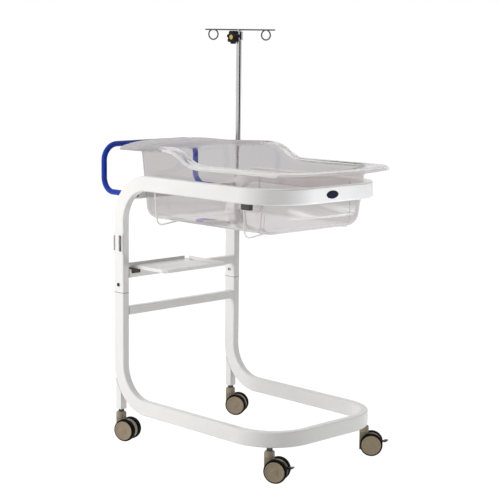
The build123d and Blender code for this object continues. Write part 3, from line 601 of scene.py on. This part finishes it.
class BASSINET_OT_tub(bpy.types.Operator):
    """Model the clear tub with its swept rim"""

    bl_idname = "bassinet.tub"
    bl_label = "Clear tub"

    def execute(self, context):
        rows = tub_rows()
        shift = drawing_shift()

        def place(column, row):
            return tub_point(column, *rows[row]) + shift

        piece = grid_piece("tub_sheet", TUB_COLUMNS, len(rows) - 1, place)
        bpy.ops.object.mode_set(mode="EDIT")
        bpy.ops.mesh.select_all(action="SELECT")
        bpy.ops.mesh.normals_make_consistent(inside=True)
        bpy.ops.object.mode_set(mode="OBJECT")
        floor = min(piece.data.polygons, key=lambda face: face.center.z)
        if floor.normal.z < 0:
            piece.data.flip_normals()
        solid = piece.modifiers.new("sheet", "SOLIDIFY")
        solid.thickness = sizes().thickness
        solid.offset = -1.0
        solid.use_even_offset = True
        bpy.ops.object.modifier_apply(modifier=solid.name)
        smooth(piece, 50.0)
        piece.data.materials.clear()
        piece.data.materials.append(acrylic_material("clear acrylic", colours().acrylic))
        # Second slot: the painted highlight of the rim's side lips
        piece.data.materials.append(lip_highlight_material("acrylic lip highlight"))
        mark_rim(piece, shift)
        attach(piece, "tub")
        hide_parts("tub")
        return {"FINISHED"}


class BASSINET_OT_frame(bpy.types.Operator):
    """Finish the painted frame, its crossbars, posts, cradles and plates"""

    bl_idname = "bassinet.frame"
    bl_label = "Painted frame"

    def execute(self, context):
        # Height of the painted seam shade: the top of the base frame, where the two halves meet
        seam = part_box("base_frame")[1].z
        seam_shaded_coat = paint_material("frame powder coat", colours().white, 0.3, 0.35, seam=seam)
        dress(seam_shaded_coat, "base_frame", "top_frame")
        white = paint_material("white powder coat", colours().white, 0.3, 0.35)
        dress(white, "top_crossbar", "shelf_crossbar", "lower_crossbar", "rear_posts",
              "slot_plate", "iv_socket", "cradle_rear", "cradle_front", "tray")
        steel = metal_material("zinc plate", (0.55, 0.55, 0.54), 0.28, None, 20 * MICRON)
        dress(steel, "joint_sleeves", "joint_nuts", "front_stem_sockets", "rear_stem_sockets",
              "handle_plugs", "iv_socket_bolts", "tray_screws", "knob_stud",
              *(f"{name}_axle" for name in CASTERS))
        dark = metal_material("blackened steel", (0.06, 0.06, 0.065), 0.3, None, 20 * MICRON)
        dress(dark, "joint_bolts", "handle_bolts", "caster_stems")
        navy = paint_material("badge enamel", (0.003, 0.005, 0.022), 0.35, 0.0, shine=0.2)
        dress(navy, "badge")
        return {"FINISHED"}


class BASSINET_OT_handle(bpy.types.Operator):
    """Finish the push handle"""

    bl_idname = "bassinet.handle"
    bl_label = "Push handle"

    def execute(self, context):
        gloss_coat = paint_material("blue gloss coat", colours().blue, 0.14, 0.1, 10 * MICRON, 0.2)
        dress(gloss_coat, "push_handle")
        return {"FINISHED"}


class BASSINET_OT_pole(bpy.types.Operator):
    """Finish the drip pole, its hanger and its star knob"""

    bl_idname = "bassinet.pole"
    bl_label = "Drip pole"

    def execute(self, context):
        chrome = metal_material("chrome plate", (0.56, 0.55, 0.55), 0.09, (1, 1, 0.02), 0.5 * MICRON)
        dress(chrome, "pole_tube", "pole_collar", "pole_rod")
        dress(metal_material("drawn wire", (0.11, 0.105, 0.1), 0.3, None, MICRON), "hanger")
        dress(metal_material("turned brass", (0.62, 0.42, 0.14), 0.2, None, 20 * MICRON), "knob_cap")
        black = plastic_material("black plastic", (0.004, 0.004, 0.004), 0.34, 1400.0, 0.01, 0.15)
        dress(black, "star_knob", "front_left_pedal", "front_right_pedal")
        dress(plastic_material("clip plastic", (0.045, 0.038, 0.036), 0.4, 1400.0, 0.06),
              "cradle_clips", "tray_clips")
        return {"FINISHED"}


# Profiles of one wheel's tyre and disc: distance from the caster's middle, and radius, in millimetres

TYRE_PROFILE = (
    (10.0, 29.05), (9.5, 30.2), (9.3, 31.8), (9.6, 34.0), (10.6, 35.9), (12.2, 37.0), (14.4, 37.4),
    (17.0, 37.5), (19.0, 37.5), (19.3, 36.9), (20.1, 36.9), (20.4, 37.5), (23.4, 37.5), (26.0, 37.3),
    (28.2, 36.5), (29.6, 35.3), (30.3, 33.6), (30.2, 32.35), (29.2, 32.3), (29.0, 29.05), (10.0, 29.05),
)
DISC_PROFILE = (
    (30.2, 0.0), (30.2, 3.1), (30.9, 3.8), (31.0, 7.6), (30.6, 9.0), (29.7, 10.2), (29.5, 12.5),
    (29.6, 24.6), (30.0, 26.6), (30.9, 28.2), (31.3, 29.7), (31.2, 31.0), (30.7, 31.9), (30.1, 32.2),
    (29.2, 32.2), (29.2, 28.95), (9.7, 28.95), (9.4, 28.2), (9.4, 26.6), (10.8, 25.6), (11.0, 9.2),
    (9.6, 8.2), (9.5, 4.1), (28.5, 4.1), (28.5, 0.0),
)
TURN_STEPS = 72


def joint_place(name):
    """Centre and axis of a joint, as the frame gives them."""
    joint = next(each for each in frame["joints"] if each["name"] == name)
    return Vector(joint["pos_m"]), Vector(joint["axis"])


class BASSINET_OT_casters(bpy.types.Operator):
    """Turn the wheels' tyres and discs and finish the four casters"""

    bl_idname = "bassinet.casters"
    bl_label = "Casters"

    def execute(self, context):
        tyre = plastic_material("tyre rubber", (0.003, 0.003, 0.003), 0.5, 900.0, 0.004, 0.05)
        disc = plastic_material("wheel disc", colours().wheel, 0.35, 1200.0, 0.05)
        hood = plastic_material("hood plastic", colours().hood, 0.38, 1200.0, 0.05)
        parts = (
            ("tyre", turned_piece("tyre_pattern", TYRE_PROFILE, TURN_STEPS), tyre, "tyre_black", 40.0),
            ("hub", turned_piece("disc_pattern", DISC_PROFILE, TURN_STEPS), disc, "wheel_grey", 30.0),
        )
        for name in CASTERS:
            dress(hood, f"{name}_hood")
            for wheel, side in (("inner", 1), ("outer", -1)):
                centre, axis = joint_place(f"{name}_{wheel}_spin")
                across = Vector((0, 0, 1)).cross(axis)
                turn = Matrix((axis * side, across, Vector((0, 0, 1)))).transposed().to_4x4()
                turn.translation = centre
                for part, pattern, material, slot, angle in parts:
                    piece = placed_copy(pattern, f"{name}_{wheel}_{part}_turned", turn)
                    piece.data.materials.append(material)
                    smooth(piece, angle)
                    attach(piece, f"{name}_{wheel}_wheel")
                    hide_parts(f"{name}_{wheel}_{part}")
        for _, pattern, *_ in parts:
            bpy.data.objects.remove(pattern)
        return {"FINISHED"}


# Stage

# The photograph's camera: yaw from +Y towards +X, pitch down and roll, in degrees, and its place in the
# drawing's frame

CAMERA_ANGLES = (44.309, 8.414, -0.620)
CAMERA_PLACE = (-3.3627, -3.8238, 1.3804)
FOCAL_PIXELS = 1472.01
PHOTO_WIDTH = 500
SENSOR_WIDTH = 36.0


def camera_matrix():
    """Place and turn of the photograph's camera."""
    yaw, pitch, roll = (math.radians(angle) for angle in CAMERA_ANGLES)
    level = math.cos(pitch)
    forward = Vector((math.sin(yaw) * level, math.cos(yaw) * level, -math.sin(pitch)))
    right = Vector((math.cos(yaw), -math.sin(yaw), 0))
    down = forward.cross(right)
    turned_right = right * math.cos(roll) + down * math.sin(roll)
    turned_down = down * math.cos(roll) - right * math.sin(roll)
    matrix = Matrix((turned_right, -turned_down, -forward)).transposed().to_4x4()
    matrix.translation = Vector(CAMERA_PLACE) + drawing_shift()
    return matrix


def add_camera(scene):
    """The photograph's camera."""
    camera = bpy.data.cameras.new("camera")
    camera.sensor_width = SENSOR_WIDTH
    camera.lens = FOCAL_PIXELS / PHOTO_WIDTH * SENSOR_WIDTH
    camera.clip_start, camera.clip_end = 0.1, 100.0
    holder = bpy.data.objects.new("camera", camera)
    scene.collection.objects.link(holder)
    holder.matrix_world = camera_matrix()
    scene.camera = holder


# Name, place, target, side, power, colour and spread of each lamp

WHITE_LIGHT = (1.0, 1.0, 1.0)
LAMPS = (
    ("key", (-2.7, 1.7, 1.8), (0, 0, 0.7), 1.6, 74.0, WHITE_LIGHT, 180.0),
    ("front", (0.47, -1.2, 0.35), (-0.16, -0.45, 0.86), 0.4, 1.22, (0.92, 0.94, 1.0), 52.0),
    ("low front", (0.9, -2.0, 0.25), (0.0, 0.0, 0.1), 0.4, 0.7, (0.95, 0.96, 1.0), 50.0),
    ("top", (0.2, 0.4, 3.6), (0, 0, 0.6), 2.5, 8.0, WHITE_LIGHT, 180.0),
)


def add_lamp(name, place, target, side, power, colour, spread):
    """A square lamp turned to its target, seen neither in reflections nor through glass."""
    lamp = bpy.data.lights.new(name, "AREA")
    lamp.shape = "SQUARE"
    lamp.size = side
    lamp.energy = power
    lamp.spread = math.radians(spread)
    lamp.color = colour
    holder = bpy.data.objects.new(name, lamp)
    bpy.context.scene.collection.objects.link(holder)
    holder.location = place
    holder.rotation_mode = "QUATERNION"
    holder.rotation_quaternion = (Vector(target) - Vector(place)).to_track_quat("-Z", "Y")
    holder.visible_glossy = False
    holder.visible_transmission = False


# Place, target, size and tilt of each card

DARK_CARD = ((0.12, -2.5, 1.1), (0.12, 0.0, 1.1), (3.2, 2.4), 0.0)
FOOT_CARD = ((1.43, -1.47, 0.17), (0.055, -0.45, 0.8), (0.46, 0.17), -14.0)
FELT_TONES = ((0.03, 0.03, 0.032, 1.0), (0.06, 0.055, 0.055, 1.0))


def add_card(name, place, target, size, tilt, material):
    """A flat card that shows only in reflections. It faces its target and is tilted in its own plane."""
    clear_selection()
    bpy.ops.mesh.primitive_plane_add(size=1.0, location=(0, 0, 0))
    card = bpy.context.object
    card.name = name
    facing = (Vector(target) - Vector(place)).to_track_quat("Z", "Y").to_matrix().to_4x4()
    flat = Matrix.Rotation(math.radians(tilt), 4, "Z") @ Matrix.Diagonal((*size, 1.0, 1.0))
    card.data.transform(Matrix.Translation(place) @ facing @ flat)
    card.data.materials.append(material)
    for ray_kind in ("camera", "diffuse", "shadow", "transmission"):
        setattr(card, f"visible_{ray_kind}", False)


def white_glow(shader, level):
    """White light of a level, where 1 is white in the picture."""
    inputs = {"Color": (1.0, 1.0, 1.0, 1.0), "Strength": level}
    return shader.add("ShaderNodeEmission", {}, inputs, "Emission")


def add_dark_card():
    """A card of dark felt beyond the foot end, which darkens the reflections of what faces it."""
    shader = Shader("dark felt")
    felt = shader.mix(shader.noise(240.0, 3.0), *FELT_TONES)
    shader.add_output(shader.add("ShaderNodeBsdfDiffuse", {}, {"Color": felt}, "BSDF"))
    add_card("dark_card", *DARK_CARD, shader.material)


def add_foot_card():
    """A bright card, streaked and faded towards its edges, for the streaks in the tub's foot wall."""
    edge_gain, edge_power, streak_level, least_level = 16.0, 0.7, 10.0, 2.0
    shader = Shader("bright card")
    spot = shader.add("ShaderNodeTexCoord", {}, {}, "UV")
    across, along = (shader.add("ShaderNodeSeparateXYZ", {}, {"Vector": spot}, axis) for axis in "XY")
    streaks = shader.noise(4.0, 2.0, (1.0, 1.0, 9.0)).above(0.35, 0.4)
    fade = (across * (1 - across) * along * (1 - along) * edge_gain) ** edge_power
    shader.add_output(white_glow(shader, fade * (streaks * streak_level + least_level)))
    add_card("foot_card", *FOOT_CARD, shader.material)


def seen_rays(shader):
    """Two masks: the camera, glossy and transmission rays, and the transmission rays alone."""
    path = {ray: shader.add("ShaderNodeLightPath", {}, {}, ray)
            for ray in ("Is Camera Ray", "Is Glossy Ray", "Is Transmission Ray")}
    seen = path["Is Camera Ray"] + path["Is Glossy Ray"] + path["Is Transmission Ray"]
    return seen.clamped(), path["Is Transmission Ray"]


# The floor and the backdrop. They are a light grey where they show through the tub.

FLOOR_SIDE = 40.0
FLOOR_TONES = ((0.86, 0.86, 0.86, 1.0), (0.9, 0.9, 0.9, 1.0))
FLOOR_LEVEL = 1.14
FLOOR_THROUGH_GLASS = 0.62
FLOOR_GLOW_SHARE = 0.86
WORLD_LIGHT = 0.42
WORLD_SEEN = 1.0
WORLD_THROUGH_GLASS = 0.95


def add_floor():
    """A floor that keeps the shadow and is white to the rays that see it."""
    clear_selection()
    bpy.ops.mesh.primitive_plane_add(size=FLOOR_SIDE, location=(0, 0, 0))
    floor = bpy.context.object
    floor.name = "floor"
    shader = Shader("studio floor")
    tone = shader.mix(shader.noise(3.0, 3.0), *FLOOR_TONES)
    lit = shader.add("ShaderNodeBsdfDiffuse", {}, {"Color": tone}, "BSDF")
    seen, glass = seen_rays(shader)
    glow = white_glow(shader, glass * (FLOOR_THROUGH_GLASS - FLOOR_LEVEL) + FLOOR_LEVEL)
    parts = {0: seen * FLOOR_GLOW_SHARE, 1: lit, 2: glow}
    shader.add_output(shader.add("ShaderNodeMixShader", {}, parts, "Shader"))
    floor.data.materials.append(shader.material)


def add_world(scene):
    """Dim light from all round, and a white backdrop to the rays that see it."""
    scene.world = bpy.data.worlds.new("studio")
    shader = Shader("studio", scene.world)
    seen, glass = seen_rays(shader)
    extra = seen * (WORLD_SEEN - WORLD_LIGHT) + glass * (WORLD_THROUGH_GLASS - WORLD_SEEN)
    inputs = {"Color": (1.0, 1.0, 1.0, 1.0), "Strength": extra + WORLD_LIGHT}
    back = shader.add("ShaderNodeBackground", {}, inputs, "Background")
    shader.add_output(back, "ShaderNodeOutputWorld")


class BASSINET_OT_stage(bpy.types.Operator):
    """Set up the floor, the studio light and the photograph's camera"""

    bl_idname = "bassinet.stage"
    bl_label = "Stage"

    def execute(self, context):
        context.scene.view_settings.view_transform = "Standard"
        add_camera(context.scene)
        add_floor()
        add_world(context.scene)
        for lamp in LAMPS:
            add_lamp(*lamp)
        add_dark_card()
        add_foot_card()
        return {"FINISHED"}


STEPS = (
    BASSINET_OT_stage,
    BASSINET_OT_tub,
    BASSINET_OT_frame,
    BASSINET_OT_handle,
    BASSINET_OT_pole,
    BASSINET_OT_casters,
)


class BASSINET_PT_panel(bpy.types.Panel):
    """Lists the steps that build the bassinet's looks"""

    bl_idname = "BASSINET_PT_panel"
    bl_label = "Bassinet"
    bl_space_type = "VIEW_3D"
    bl_region_type = "UI"
    bl_category = "Bassinet"

    def draw(self, context):
        for operator in STEPS:
            self.layout.operator(operator.bl_idname)


CLASSES = (BassinetSizes, BassinetColours, *STEPS, BASSINET_PT_panel)


def register():
    for each in CLASSES:
        bpy.utils.register_class(each)
    bpy.types.Scene.bassinet_sizes = bpy.props.PointerProperty(type=BassinetSizes)
    bpy.types.Scene.bassinet_colours = bpy.props.PointerProperty(type=BassinetColours)


def unregister():
    del bpy.types.Scene.bassinet_colours
    del bpy.types.Scene.bassinet_sizes
    for each in reversed(CLASSES):
        bpy.utils.unregister_class(each)


def main():
    register()
    for operator in STEPS:
        group, name = operator.bl_idname.split(".")
        getattr(getattr(bpy.ops, group), name)()


if __name__ == "__main__":
    main()
